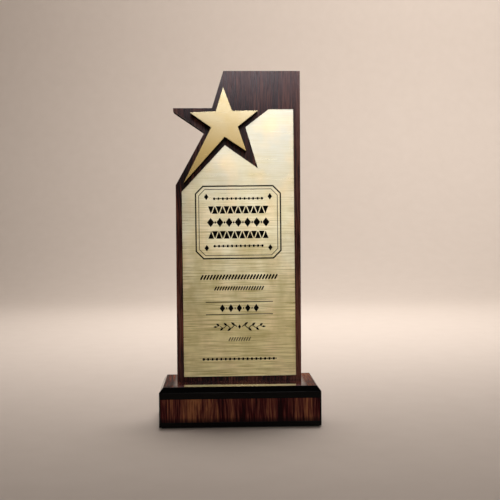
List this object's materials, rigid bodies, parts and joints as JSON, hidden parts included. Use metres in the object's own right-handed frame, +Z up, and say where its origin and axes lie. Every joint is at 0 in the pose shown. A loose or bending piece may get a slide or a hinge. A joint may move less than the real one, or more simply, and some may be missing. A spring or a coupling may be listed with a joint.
{
  "type": "star award plaque",
  "caption": "Standing wooden award plaque: walnut-faced board with a comet-star outline, raised gold star and brushed gold face plate, on a bevelled black and walnut base.",
  "frame": {"origin": "middle of the underside of the base, on the surface that the plaque stands on", "axes": "+Z up the board, -Y out of the front with the star and the face plate, +X to the right as seen from the front"},
  "size_m": [0.126, 0.065, 0.2805],
  "materials": {
    "black_lacquer": "glossy black lacquer on MDF",
    "walnut_laminate": "glossy walnut laminate, grain upright",
    "black_edge_paint": "satin black paint on cut MDF edges",
    "board_laminate": "satin walnut laminate, grain upright",
    "satin_gold": "smooth satin gold anodised sheet",
    "brushed_gold": "gold anodised sheet brushed sideways",
    "felt": "black wool felt",
    "adhesive": "double-sided tape and adhesive film",
    "zinc_steel": "zinc-plated wood screw",
    "beech": "plain beech dowel"
  },
  "bodies": {
    "root": {"base_core": "black_lacquer", "base_front_laminate": "walnut_laminate", "base_back_laminate": "walnut_laminate", "base_left_laminate": "walnut_laminate", "base_right_laminate": "walnut_laminate", "base_top_laminate": "walnut_laminate", "base_felt": "felt", "board_core": "black_edge_paint", "board_front_laminate": "board_laminate", "board_back_laminate": "board_laminate", "board_screws": "zinc_steel", "board_dowels": "beech", "star_block": "black_edge_paint", "star_tape": "adhesive", "star_plate": "satin_gold", "star_plate_tape": "adhesive", "face_plate": "brushed_gold", "face_plate_tape": "adhesive"}
  },
  "joints": []
}
